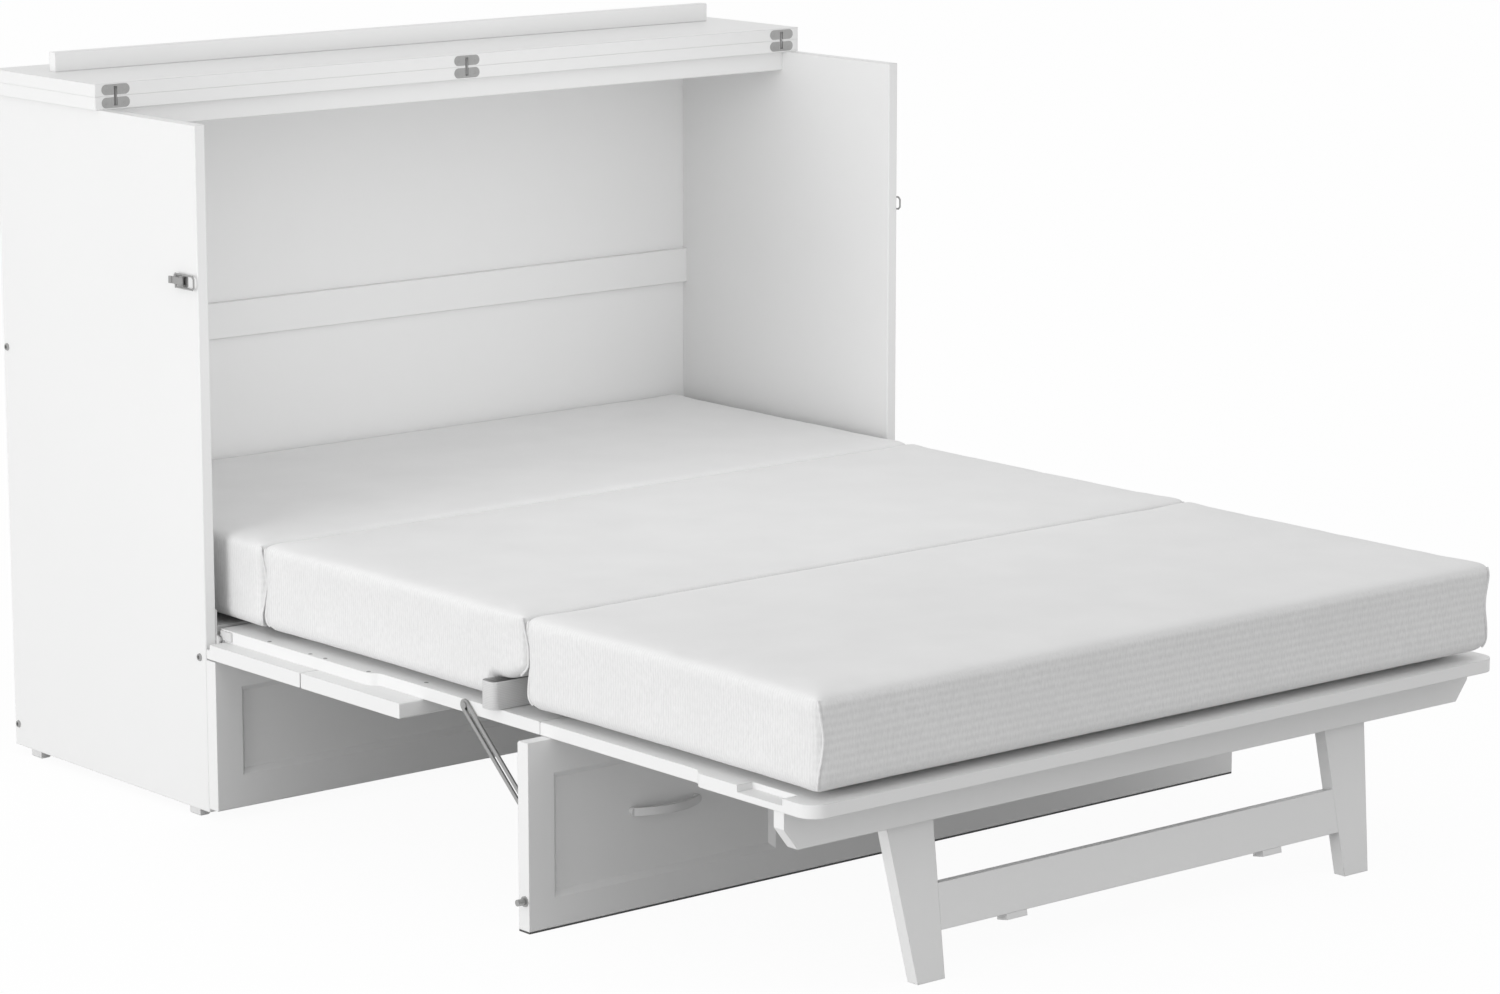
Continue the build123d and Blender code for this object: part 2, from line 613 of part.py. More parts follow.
def build_platform():
    save("middle_slab", middle_slab())
    save("pivot_brackets", *both_sides(pivot_bracket()))
    save("pivot_plates", *both_sides(pivot_plate()))

    inner = front_board(BOARD_START, BOARD_SPLIT - BOARD_GAP / 2)
    notch_end, notch_low = BOARD_START + BOARD_NOTCH, SLAB_UNDER - BOARD_NOTCH
    edge = SLAB_HALF - OVER
    notch = block(edge, CABINET_HALF + OVER, BOARD_START - OVER, notch_end, notch_low, SLAB_UNDER + OVER)
    for cut in both_sides(notch):
        inner -= cut
    save("inner_front_board", inner)
    save("outer_front_board", front_board(BOARD_SPLIT + BOARD_GAP / 2, BOARD_END))

    boss = rod(STAY_PIN_D, STAY_PIN_Z, STAY_BOSS_R, SLAB_WAIST_HALF, STAY_INNER - STAY_SIDE_GAP)
    save("stay_bosses", *both_sides(boss))
    save("slab_hinge_leaves", *[slab_hinge_leaf(x, -1) for x in HINGE_PLACES])
    save("slab_hinge_pins", *hinge_pins(SLAB_JOINT, JOINT_AXIS_Z))
    save("panel_hinge_leaves", *[panel_hinge_leaf(x, False) for x in HINGE_PLACES])
    save("panel_hinge_pins", *hinge_pins(PANEL_AXIS_D, PANEL_AXIS_Z))


# Foot platform with its apron and folding leg frame

def apron():
    """Board under the foot slab with the lower corners of its ends cut off."""
    shape = Pos(0, (APRON_LOW + SLAB_UNDER) / 2) * Rectangle(2 * APRON_HALF, SLAB_UNDER - APRON_LOW)
    for side in (-1, 1):
        tip, inner = side * APRON_HALF, side * (APRON_HALF - APRON_CHAMFER)
        shape -= outline((tip, APRON_LOW), (inner, APRON_LOW), (tip, APRON_LOW + APRON_CHAMFER_HIGH))
    return front_profile(shape, APRON_BACK, APRON_FRONT)


def leg_bracket():
    """Channel under the slab whose two ears carry a leg's pin."""
    low, high = LEG_CENTRE_X - EAR_OUT - EAR_THICK, LEG_CENTRE_X + EAR_OUT + EAR_THICK
    front, back = LEG_AXIS_D + BRACKET_HALF, LEG_AXIS_D - BRACKET_HALF
    bracket = block(low, high, back, front, SLAB_UNDER - BRACKET_BASE, SLAB_UNDER)
    rise = SLAB_UNDER - LEG_AXIS_Z
    ear = Pos(LEG_AXIS_D, LEG_AXIS_Z) * disc(EAR_R)
    ear += Pos(LEG_AXIS_D, LEG_AXIS_Z + rise / 2) * Rectangle(2 * EAR_R, rise)
    bracket += side_profile(ear, low, low + EAR_THICK)
    bracket += side_profile(ear, high - EAR_THICK, high)
    return bracket - rod(LEG_AXIS_D, LEG_AXIS_Z, LEG_PIN_R, low - OVER, high + OVER)


def leg_pin():
    reach = EAR_OUT + EAR_THICK
    return rod(LEG_AXIS_D, LEG_AXIS_Z, LEG_PIN_R, LEG_CENTRE_X - reach, LEG_CENTRE_X + reach)


def lean(piece):
    """Turns a piece drawn upright about the leg axis to the leg frame's lean."""
    axis = Axis((0, y_at(LEG_AXIS_D), LEG_AXIS_Z), (1, 0, 0))
    return piece.rotate(axis, -LEG_LEAN)


def leg():
    """Tapered leg with a round head, cut level where it stands on the floor."""
    top = LEG_AXIS_Z + LEG_THICK / 2
    shape = outline(
        (LEG_INNER, LEG_SHOULDER), (LEG_INNER, top), (LEG_OUTER, top), (LEG_OUTER, LEG_SHOULDER),
        (LEG_OUTER_LOW, LEG_TAPER_LOW), (LEG_INNER_LOW, LEG_TAPER_LOW),
    )
    blank = front_profile(shape, LEG_AXIS_D - LEG_THICK / 2, LEG_AXIS_D + LEG_THICK / 2)
    head = blank.edges().filter_by(Axis.X).group_by(Axis.Z)[-1]
    blank = fillet(head, LEG_THICK / 2 - RUNNING_CLEARANCE)
    bore = LEG_PIN_R + RUNNING_CLEARANCE
    blank -= rod(LEG_AXIS_D, LEG_AXIS_Z, bore, LEG_INNER - OVER, LEG_OUTER + OVER, bore=True)
    floor = block(0, CABINET_HALF, SLAB_JOINT, LEG_AXIS_D + SLAB_HALF, -LEG_AXIS_Z, 0)
    return lean(blank) - floor


def leg_inner_x(z):
    """Inner edge of a leg's upright outline at this height."""
    share = (LEG_SHOULDER - z) / (LEG_SHOULDER - LEG_TAPER_LOW)
    return LEG_INNER + share * (LEG_INNER_LOW - LEG_INNER)


def build_foot():
    save("foot_slab", foot_slab())
    save("foot_apron", apron())
    save("slab_hinge_flaps", *[slab_hinge_leaf(x, 1) for x in HINGE_PLACES])
    save("leg_brackets", *both_sides(leg_bracket()))
    save("leg_pins", *both_sides(leg_pin()))

    right = leg()
    save("right_leg", right)
    save("left_leg", mirror(right, about=Plane.YZ))
    stand = 1 / math.cos(math.radians(LEG_LEAN))
    low = LEG_AXIS_Z - (LEG_AXIS_Z - STRETCHER_LOW) * stand
    high = LEG_AXIS_Z - (LEG_AXIS_Z - STRETCHER_HIGH) * stand
    wide_low, wide_high = leg_inner_x(low), leg_inner_x(high)
    shape = outline((-wide_low, low), (wide_low, low), (wide_high, high), (-wide_high, high))
    d0, d1 = LEG_AXIS_D - LEG_THICK / 2, LEG_AXIS_D + LEG_THICK / 2
    save("leg_stretcher", lean(front_profile(shape, d0, d1)))
    foot_block = block(BLOCK_INNER, BLOCK_INNER + BLOCK_WIDE, d0, d1, low - BLOCK_HIGH, low)
    save("stretcher_blocks", *both_sides(lean(foot_block)))


# Mid panel with its pulls, and the slotted stays behind it

def mid_panel():
    panel = block(-CABINET_HALF, CABINET_HALF, PANEL_AXIS_D, PANEL_FACE, STRIP_HIGH, PANEL_TOP)
    for x0, x1 in FIELD_EDGES:
        panel -= recess(x0, x1, FIELD_LOW, FIELD_HIGH, PANEL_FACE, FIELD_DEEP)
    panel -= hinge_groove(PANEL_AXIS_D, PANEL_AXIS_Z)
    d, z = PANEL_AXIS_D, PANEL_AXIS_Z
    for x in HINGE_PLACES:
        panel -= leaf_blank(x, d, d + LEAF_PLATE, z - LEAF_WIDE, z)
    return panel


def bow_pull(x):
    """Bowed flat bar on two round feet, seated on the floor of a field."""
    seat, half = PANEL_FACE - FIELD_DEEP, PULL_SPAN / 2
    ends, inner = y_at(seat + PULL_FOOT), half - PULL_BAR
    front = ThreePointArc((x - half, ends), (x, y_at(seat + PULL_REACH)), (x + half, ends))
    back = ThreePointArc((x + inner, ends), (x, y_at(seat + PULL_REACH - PULL_BAR)), (x - inner, ends))
    plan = make_face([front, Line(front @ 1, back @ 0), back, Line(back @ 1, front @ 0)])
    bar = extrude(Pos(0, 0, PULL_Z - PULL_HIGH / 2) * plan, amount=PULL_HIGH)
    for side in (-1, 1):
        foot = Pos(x + side * (half - PULL_BAR / 2), PULL_Z) * disc(PULL_HIGH / 2)
        bar += front_profile(foot, seat, seat + PULL_FOOT + OVER)
    return bar


def keeper_stud():
    flange = rod(STUD_D, STUD_Z, STUD_FLANGE_R, CABINET_HALF, CABINET_HALF + STUD_FLANGE)
    return flange + rod(STUD_D, STUD_Z, STUD_R, CABINET_HALF + OVER, CABINET_HALF + STUD_REACH)


def stay():
    """Flat bar with a long slot, from the mid panel's bracket up past the slab's pin."""
    run = math.hypot(STAY_PIN_D - STAY_FOOT_D, STAY_PIN_Z - STAY_FOOT_Z)
    turn = math.degrees(math.atan2(STAY_PIN_Z - STAY_FOOT_Z, STAY_PIN_D - STAY_FOOT_D))
    bar = Pos(run / 2, 0) * SlotCenterToCenter(run, 2 * STAY_HALF_WIDE)
    slot_middle = (run + STAY_SLOT_FROM) / 2
    bar -= Pos(slot_middle, 0) * SlotCenterToCenter(run - STAY_SLOT_FROM, STAY_SLOT_WIDE)
    bar -= disc(STAY_RIVET_R + RUNNING_CLEARANCE, bore=True)
    placed = Pos(STAY_FOOT_D, STAY_FOOT_Z) * Rot(0, 0, turn) * bar
    return side_profile(placed, STAY_INNER, STAY_OUTER)


def stay_slider():
    """Rivet that runs in the stay's slot, with its head on the outer side."""
    shank_r = STAY_SLOT_WIDE / 2 - RUNNING_CLEARANCE
    shank = rod(STAY_PIN_D, STAY_PIN_Z, shank_r, STAY_INNER, STAY_OUTER)
    head = rod(STAY_PIN_D, STAY_PIN_Z, STAY_HEAD_R, STAY_OUTER, STAY_OUTER + STAY_HEAD)
    return shank + chamfer(head.edges().group_by(Axis.X)[-1], STAY_HEAD / 2)


def stay_bracket():
    """Lug on the mid panel's back with the rivet that a stay turns on."""
    reach = PANEL_AXIS_D - STAY_FOOT_D
    lug = Pos(STAY_FOOT_D, STAY_FOOT_Z) * disc(LUG_R)
    lug += Pos(PANEL_AXIS_D - reach / 2, STAY_FOOT_Z) * Rectangle(reach, 2 * LUG_R)
    inner, flange = STAY_OUTER + STAY_SIDE_GAP, PANEL_AXIS_D - LUG_PLATE
    low, high = STAY_FOOT_Z - LUG_HIGH / 2, STAY_FOOT_Z + LUG_HIGH / 2
    bracket = side_profile(lug, inner, inner + STAY_THICK)
    bracket += block(inner, STAY_INNER + LUG_WIDE, flange, PANEL_AXIS_D, low, high)
    return bracket + rod(STAY_FOOT_D, STAY_FOOT_Z, STAY_RIVET_R, STAY_INNER, inner + OVER)


def build_panel():
    save("mid_panel", mid_panel())
    save("floor_strip", block(-CABINET_HALF, CABINET_HALF, PANEL_AXIS_D, PANEL_FACE, 0, STRIP_HIGH))
    for name, (x0, x1) in zip(("left_pull", "centre_pull", "right_pull"), FIELD_EDGES):
        save(name, bow_pull((x0 + x1) / 2))
    save("keeper_studs", *both_sides(keeper_stud()))
    save("panel_hinge_flaps", *[panel_hinge_leaf(x, True) for x in HINGE_PLACES])
    save("stay_brackets", *both_sides(stay_bracket()))
    right = stay()
    save("right_stay", right)
    save("left_stay", mirror(right, about=Plane.YZ))
    save("stay_sliders", *both_sides(stay_slider()))


# Draw latches on the side panels

def latch_base():
    """Plate with two ears and the pin between them."""
    low, high = LATCH_Z - LATCH_BASE_HIGH / 2, LATCH_Z + LATCH_BASE_HIGH / 2
    outer = CABINET_HALF + LATCH_BASE_PLATE
    base = block(CABINET_HALF, outer, LATCH_BASE_START, LATCH_BASE_END, low, high)
    base = eased_edges(base, Axis.X, LATCH_BASE_EASE)
    back, front = LATCH_AXIS_D - LATCH_EAR_R, LATCH_AXIS_D + LATCH_EAR_R
    for side in (-1, 1):
        z0, z1 = sorted((LATCH_Z + side * LATCH_EAR_IN, LATCH_Z + side * LATCH_EAR_OUT))
        base += block(CABINET_HALF + OVER, LATCH_AXIS_X, back, front, z0, z1)
        base += post(LATCH_AXIS_X, LATCH_AXIS_D, LATCH_EAR_R, z0, z1)
    pin_low, pin_high = LATCH_Z - LATCH_EAR_OUT, LATCH_Z + LATCH_EAR_OUT
    return base + post(LATCH_AXIS_X, LATCH_AXIS_D, LATCH_PIN_R, pin_low, pin_high)


def latch_lever():
    """Lever that turns on the base's pin, with a turned-up thumb end."""
    low, high = LATCH_Z - LATCH_EAR_IN + KNUCKLE_GAP, LATCH_Z + LATCH_EAR_IN - KNUCKLE_GAP
    thumb_front, outer = LEVER_END + THUMB_LONG, LATCH_AXIS_X + LEVER_THICK
    lever = post(LATCH_AXIS_X, LATCH_AXIS_D, LEVER_THICK, low, high)
    lever += block(LATCH_AXIS_X - OVER, outer, thumb_front - OVER, LATCH_AXIS_D, low, high)
    thumb = block(LATCH_AXIS_X + LOOP_RISE, LATCH_AXIS_X + THUMB_RISE, LEVER_END, thumb_front, low, high)
    lever += eased_edges(thumb, Axis.Z, EASE)
    bore, loop_bore = LATCH_PIN_R + RUNNING_CLEARANCE, LOOP_WIRE_R + RUNNING_CLEARANCE
    lever -= post(LATCH_AXIS_X, LATCH_AXIS_D, bore, low - OVER, high + OVER, bore=True)
    return lever - post(LOOP_X, LOOP_PIN_D, loop_bore, low - OVER, high + OVER, bore=True)


def latch_loop():
    """Rectangular wire loop: a cross pin in the lever, two legs and the bar that hooks the stud."""
    low, high = LATCH_Z - LOOP_HALF_HIGH, LATCH_Z + LOOP_HALF_HIGH
    back, front = y_at(LOOP_PIN_D), y_at(LOOP_FRONT)
    turn = y_at(LOOP_FRONT - LOOP_CORNER)
    path = Polyline(
        (LOOP_X, back, low), (LOOP_X, turn, low), (LOOP_X, front, low + LOOP_CORNER),
        (LOOP_X, front, high - LOOP_CORNER), (LOOP_X, turn, high), (LOOP_X, back, high),
    )
    section = Plane(origin=path @ 0, z_dir=path % 0) * disc(LOOP_WIRE_R)
    wire = sweep(section, path=path, transition=Transition.RIGHT)
    return wire + post(LOOP_X, LOOP_PIN_D, LOOP_WIRE_R, low - LOOP_WIRE_R, high + LOOP_WIRE_R)


def build_latches():
    save("latch_bases", *both_sides(latch_base()))
    for name, piece in (("lever", latch_lever()), ("loop", latch_loop())):
        save("right_latch_" + name, piece)
        save("left_latch_" + name, mirror(piece, about=Plane.YZ))


# Mattress in three sections with drawn-in sides, and the strap under the middle one

def section_ring(d0, d1, height, inset):
    """Plan of a section at one height: bowed sides between round corners."""
    x, r = MATTRESS_HALF - inset, SECTION_CORNER_R
    low, high = y_at(d1) + inset, y_at(d0) - inset
    cut, centre = r * (1 - math.sqrt(0.5)), (low + high) / 2
    edges = [
        ThreePointArc((-x + r, low), (0, low + SECTION_END_DRAW), (x - r, low)),
        ThreePointArc((x - r, low), (x - cut, low + cut), (x, low + r)),
        ThreePointArc((x, low + r), (x - SECTION_DRAW_IN, centre), (x, high - r)),
        ThreePointArc((x, high - r), (x - cut, high - cut), (x - r, high)),
        ThreePointArc((x - r, high), (0, high - SECTION_END_DRAW), (-x + r, high)),
        ThreePointArc((-x + r, high), (-x + cut, high - cut), (-x, high - r)),
        ThreePointArc((-x, high - r), (-x + SECTION_DRAW_IN, centre), (-x, low + r)),
        ThreePointArc((-x, low + r), (-x + cut, low + cut), (-x + r, low)),
    ]
    return Pos(0, 0, MATTRESS_REST + height) * make_face(edges)


def mattress_section(part):
    d0, d1 = MATTRESS_SPANS[part]
    rings = [section_ring(d0, d1, height, inset) for height, inset in SECTION_LEVELS]
    return loft(rings, ruled=True)


def strap_room():
    """Space under the foot end of the middle section, whose cover rides up over the strap."""
    end, under = MATTRESS_SPANS["middle"][1] + OVER, PLATFORM_TOP
    roof, roof_end = STRAP_HIGH + STRAP_ROOM, STRAP_END + STRAP_ROOM
    shape = outline(
        (UNDERCUT_START, under), (UNDERCUT_START + STRAP_ROOM, roof), (roof_end, roof),
        (end, UNDERCUT_HIGH), (end, under),
    )
    return side_profile(shape, -STRAP_HALF, STRAP_HALF)


def mattress_strap():
    """Flattened loop of webbing that stands on the slab, across the bed and out past both sides."""
    wide, inside = STRAP_END - STRAP_START, 2 * STRAP_THICK
    plan = RectangleRounded(2 * STRAP_HALF, wide, STRAP_TURN_R)
    plan -= RectangleRounded(2 * STRAP_HALF - inside, wide - inside, STRAP_TURN_R - STRAP_THICK)
    place = Pos(0, y_at((STRAP_START + STRAP_END) / 2), STRAP_LOW)
    return extrude(place * plan, amount=STRAP_HIGH - STRAP_LOW)


def build_mattress():
    save("mattress_head", mattress_section("head"))
    save("mattress_middle", mattress_section("middle") - strap_room())
    foot = mattress_section("foot")
    for x in HINGE_PLACES:
        # the foam gives way over the hinge knuckles
        start, end = SLAB_JOINT - DENT_REACH, SLAB_JOINT + DENT_REACH
        foot -= block(x - DENT_HALF, x + DENT_HALF, start, end, PLATFORM_TOP, JOINT_AXIS_Z + DENT_HIGH)
    save("mattress_foot", foot)
    save("mattress_strap", mattress_strap())


def main():
    os.makedirs("parts", exist_ok=True)
    build_cabinet()
    build_lid()
    build_platform()
    build_foot()
    build_panel()
    build_latches()
    build_mattress()


main()
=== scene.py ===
# %% [markdown]
# # A cabinet bed, opened out
#
# The bed folds out of a white chest. Its boards, hinges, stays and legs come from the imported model,
# at their real size. This lesson gives every surface its finish, replaces the three plain mattress
# solids with soft ones, and adds the small fasteners that a board maker would screw in last.

# %% Load the frame
import json
import math
import bmesh
import bpy
from mathutils import Matrix, Vector
from mathutils.bvhtree import BVHTree


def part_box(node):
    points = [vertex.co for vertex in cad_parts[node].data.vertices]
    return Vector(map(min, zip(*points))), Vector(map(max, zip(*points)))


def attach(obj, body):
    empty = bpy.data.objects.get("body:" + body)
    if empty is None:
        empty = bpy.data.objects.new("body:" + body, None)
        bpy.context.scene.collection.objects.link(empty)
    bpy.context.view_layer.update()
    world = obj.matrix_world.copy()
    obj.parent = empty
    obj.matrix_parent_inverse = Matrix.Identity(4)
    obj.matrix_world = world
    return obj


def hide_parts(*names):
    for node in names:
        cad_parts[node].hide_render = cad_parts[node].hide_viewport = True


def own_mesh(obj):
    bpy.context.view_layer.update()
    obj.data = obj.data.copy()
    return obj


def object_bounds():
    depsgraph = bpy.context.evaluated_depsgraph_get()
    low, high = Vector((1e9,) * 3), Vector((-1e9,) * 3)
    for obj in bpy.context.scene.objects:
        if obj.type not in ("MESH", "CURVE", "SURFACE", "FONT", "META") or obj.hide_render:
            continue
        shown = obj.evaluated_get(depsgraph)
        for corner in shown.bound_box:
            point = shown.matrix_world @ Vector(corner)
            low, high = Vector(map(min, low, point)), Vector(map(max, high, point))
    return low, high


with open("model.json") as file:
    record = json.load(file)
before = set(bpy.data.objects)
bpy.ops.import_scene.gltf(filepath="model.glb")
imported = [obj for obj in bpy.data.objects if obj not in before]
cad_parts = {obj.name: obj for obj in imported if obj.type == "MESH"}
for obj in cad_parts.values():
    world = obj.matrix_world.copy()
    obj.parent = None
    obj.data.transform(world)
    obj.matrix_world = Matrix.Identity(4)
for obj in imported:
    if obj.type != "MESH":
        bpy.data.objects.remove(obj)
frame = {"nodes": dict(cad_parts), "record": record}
nodes = frame["nodes"]
cad_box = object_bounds()
slot_of = {row["node"]: row["material_slot"] for row in frame["record"]["subparts"]}
MM = 0.001

# %% [markdown]
# ## Shader maths that reads like maths
#
# A material is a graph of nodes. Written node by node, even a small formula takes a page. Here one
# class wraps a socket, so that `1 - mask * 0.2` adds the Math nodes by itself, and one method makes any
# other node from its type, its settings and what goes into its sockets.

# %% A socket that can be added and multiplied
class Signal:
    """A shader output. Arithmetic on it adds Math nodes to the same material."""

    def __init__(self, tree, socket):
        self.tree = tree
        self.socket = socket

    def math(self, operation, *values):
        made = self.tree.nodes.new("ShaderNodeMath")
        made.operation = operation
        for place, value in zip(made.inputs, values):
            feed(self.tree, place, value)
        return Signal(self.tree, made.outputs[0])

    def __add__(self, other):
        return self.math("ADD", self, other)

    def __sub__(self, other):
        return self.math("SUBTRACT", self, other)

    def __mul__(self, other):
        return self.math("MULTIPLY", self, other)

    def __rsub__(self, other):
        return self.math("SUBTRACT", other, self)

    __radd__ = __add__


def feed(tree, place, value):
    """Links a Signal into a socket, or sets the socket's own value."""
    if isinstance(value, Signal):
        tree.links.new(value.socket, place)
    elif isinstance(value, tuple) and len(value) == 3 and place.type == "RGBA":
        place.default_value = (*value, 1.0)
    else:
        place.default_value = value


def make_node(tree, kind, settings=None, out=0, **inputs):
    """Adds a node: settings first, then its sockets by name, with _ for a space."""
    made = tree.nodes.new("ShaderNode" + kind)
    for name, value in (settings or {}).items():
        setattr(made, name, value)
    for name, value in inputs.items():
        place = next(s for s in made.inputs if s.name == name.replace("_", " ") and s.enabled)
        feed(tree, place, value)
    return Signal(tree, made.outputs[out])


print("shader helper ready")


# %% A finish is a function that fills in one shader
def finish(name, base_color, roughness, **fixed):
    """New material with one Principled shader. Returns the material, its tree and its shader node."""
    material = bpy.data.materials.new(name)
    material.use_nodes = True
    tree = material.node_tree
    shader = tree.nodes["Principled BSDF"]
    feed(tree, shader.inputs["Base Color"], base_color)
    feed(tree, shader.inputs["Roughness"], roughness)
    for socket, value in fixed.items():
        feed(tree, shader.inputs[socket.replace("_", " ")], value)
    return material, tree, shader


def object_place(tree):
    """Object coordinates, which are metres in the bed's own frame."""
    return make_node(tree, "TexCoord", out=3)


def stretched(tree, place, scale):
    """The same coordinates with each axis scaled, for a pattern with a direction."""
    return make_node(tree, "Mapping", Vector=place, Scale=scale)


def noise(tree, place, scale, detail=2.0, roughness=0.5):
    return make_node(tree, "TexNoise", Vector=place, Scale=scale, Detail=detail, Roughness=roughness)


def shade(tree, amount, dark, light):
    """Colour between two greys, by an amount from 0 to 1."""
    return make_node(tree, "Mix", {"data_type": "RGBA"}, out=2, Factor=amount, A=dark, B=light)


def bumped(tree, shader, height, strength, distance, **over):
    """Bump from a height, over the surface's own normal or over another one, given as Normal."""
    normal = make_node(tree, "Bump", Strength=strength, Distance=distance, Height=height, **over)
    feed(tree, shader.inputs["Normal"], normal)


# %% [markdown]
# ## White paint
#
# The chest is fibreboard sprayed with a satin white. Up close such paint has a faint orange peel,
# and over a whole panel its gloss drifts a little. A noise at two scales gives both: the fine one goes
# into the bump, the broad one into the roughness and, barely, into the colour. Painted boards have eased
# edges, or the paint would chip. A Bevel node turns the normal near an edge, so that the seam between two
# boards shows.

# %% Satin white paint
PAINT_DARK = (0.775, 0.776, 0.775)
PAINT_LIGHT = (0.805, 0.806, 0.804)
PULL_DARK = (0.64, 0.64, 0.64)
PULL_LIGHT = (0.68, 0.68, 0.68)
PAINT_ROUGHNESS = 0.42
PAINT_GLOSSIEST = 0.36
GLOSS_DRIFT = 0.14
DRIFT_SCALE = 2.2
PEEL_SCALE = 420.0
PEEL_STRENGTH = 0.05
PEEL_DEPTH = 0.4 * MM
EASED_EDGE = 1.8 * MM


def satin_paint(name, dark, light):
    material, tree, shader = finish(name, light, PAINT_ROUGHNESS, Specular_IOR_Level=0.4)
    place = object_place(tree)
    drift = noise(tree, place, DRIFT_SCALE, detail=3.0)
    peel = noise(tree, place, PEEL_SCALE, detail=1.0)
    feed(tree, shader.inputs["Base Color"], shade(tree, drift, dark, light))
    feed(tree, shader.inputs["Roughness"], PAINT_GLOSSIEST + drift * GLOSS_DRIFT)
    eased = make_node(tree, "Bevel", Radius=EASED_EDGE)
    bumped(tree, shader, peel, strength=PEEL_STRENGTH, distance=PEEL_DEPTH, Normal=eased)
    return material


white_paint = satin_paint("white_paint", PAINT_DARK, PAINT_LIGHT)
painted_pull = satin_paint("painted_pull", PULL_DARK, PULL_LIGHT)
print("paint", white_paint.name, painted_pull.name)

# %% [markdown]
# ## Nickel hardware
#
# Hinge plates, stays, latches and screws are nickel plated steel with a brushed face. Brushing is a
# noise stretched along one axis: the streaks change the roughness and tilt the normal slightly.

# %% Brushed nickel
NICKEL_DARK = (0.32, 0.32, 0.317)
NICKEL_LIGHT = (0.44, 0.44, 0.437)
NICKEL_ROUGHNESS = 0.35
NICKEL_GLOSSIEST = 0.26
BRUSHING = (1400.0, 1400.0, 60.0)
BLOTCH_SCALE = 60.0
STREAK_STRENGTH = 0.08
STREAK_DEPTH = 0.3 * MM


def brushed_nickel():
    material, tree, shader = finish("nickel_hardware", NICKEL_LIGHT, NICKEL_ROUGHNESS, Metallic=0.9)
    place = object_place(tree)
    streaks = noise(tree, stretched(tree, place, BRUSHING), 1.0, detail=2.0)
    blotch = noise(tree, place, BLOTCH_SCALE)
    feed(tree, shader.inputs["Base Color"], shade(tree, streaks, NICKEL_DARK, NICKEL_LIGHT))
    feed(tree, shader.inputs["Roughness"], NICKEL_GLOSSIEST + streaks * 0.14 + blotch * 0.08)
    bumped(tree, shader, streaks, strength=STREAK_STRENGTH, distance=STREAK_DEPTH)
    return material


nickel_hardware = brushed_nickel()
print("metal", nickel_hardware.name)

# %% [markdown]
# ## Mattress knit
#
# The cover is a white double knit. Short upright dashes show on all its sides, which a noise stretched
# along Z gives. Upright ribs run down the long sides, and faint level rows cross the ends: a sine along
# one axis makes each, without any unwrapping. The surface's own normal says how much of them a face gets,
# and on top they are pulled flat. A soft noise fades the pattern in patches, as a stretched knit does.

# %% Ribbed knit for the cover
RIB_PITCH = 5.4 * MM
ROW_PITCH = 12.0 * MM
DASHES = (300.0, 300.0, 110.0)
WOBBLE = 1.6 * MM
WOBBLE_SCALE = 26.0
PATCH_SCALE = 9.0
YARN_SCALE = 900.0
TOP_TONE = 0.65
KNIT_STRENGTH = 0.45
KNIT_DEPTH = 1.2 * MM
KNIT_DARK = (0.68, 0.68, 0.68)
KNIT_LIGHT = (0.785, 0.785, 0.785)


def rib(axis_value, pitch):
    """A wave from 0 to 1 along one axis."""
    wave = axis_value.math("SINE", axis_value * (2 * math.pi / pitch))
    return wave * 0.5 + 0.5


def three_parts(tree, vector):
    """X, Y and Z of a vector as three signals."""
    split = make_node(tree, "SeparateXYZ", Vector=vector)
    return [Signal(tree, socket) for socket in split.socket.node.outputs]


def ribbed_knit(name, dark, light):
    material, tree, shader = finish(name, light, 0.85, Specular_IOR_Level=0.2, Sheen_Weight=0.25)
    place = object_place(tree)
    x, y, z = three_parts(tree, place)
    side, end, top = [part * part for part in three_parts(tree, make_node(tree, "TexCoord", out=1))]
    wobble = noise(tree, place, WOBBLE_SCALE) * WOBBLE
    dashes = noise(tree, stretched(tree, place, DASHES), 1.0, detail=1.0) * 2.2 - 0.6
    upright = side * (rib(y + wobble, RIB_PITCH) * 0.45 + dashes * 0.55)
    level = end * (rib(z + wobble * 2.0, ROW_PITCH) * 0.4 + dashes * 0.6)
    patches = noise(tree, place, PATCH_SCALE, detail=3.0)
    yarn = noise(tree, place, YARN_SCALE, detail=1.0)
    stitch = (upright + level + top * TOP_TONE) * (0.45 + patches) + yarn * 0.2
    feed(tree, shader.inputs["Base Color"], shade(tree, stitch, dark, light))
    feed(tree, shader.inputs["Roughness"], 0.95 - stitch * 0.15)
    bumped(tree, shader, stitch, strength=KNIT_STRENGTH, distance=KNIT_DEPTH)
    return material


mattress_knit = ribbed_knit("mattress_knit", KNIT_DARK, KNIT_LIGHT)
print("knit pitch", RIB_PITCH, ROW_PITCH)

# %% [markdown]
# ## Webbing, painted shadow strip and glides
#
# Three small finishes are left: the grey elastic strap on the mattress, with ribs along its length, the
# near-black strip under the mid panel, which is painted shadow for the dark line where the panel stands on
# the floor, and the plastic glides under the cabinet.

# %% Strap, strip and glide finishes
STRAP_GREY = (0.6, 0.6, 0.6)
STRAP_DARK = (0.55, 0.55, 0.55)
STRAP_LIGHT = (0.66, 0.66, 0.66)
STRAP_RIB_PITCH = 2.6 * MM
STRAP_RIB_DEPTH = 0.6 * MM
FUZZ_SCALE = 700.0
# Near-black strip under the mid panel: painted shadow, in place of the dark line where the panel meets the
# floor.
SHADOW_STRIP_DARK = (0.05, 0.05, 0.05)
SHADOW_STRIP_LIGHT = (0.09, 0.09, 0.09)
GLIDE_DARK = (0.62, 0.62, 0.62)
GLIDE_LIGHT = (0.72, 0.72, 0.72)
GRAIN_SCALE = 300.0
GRAIN_DEPTH = 0.3 * MM


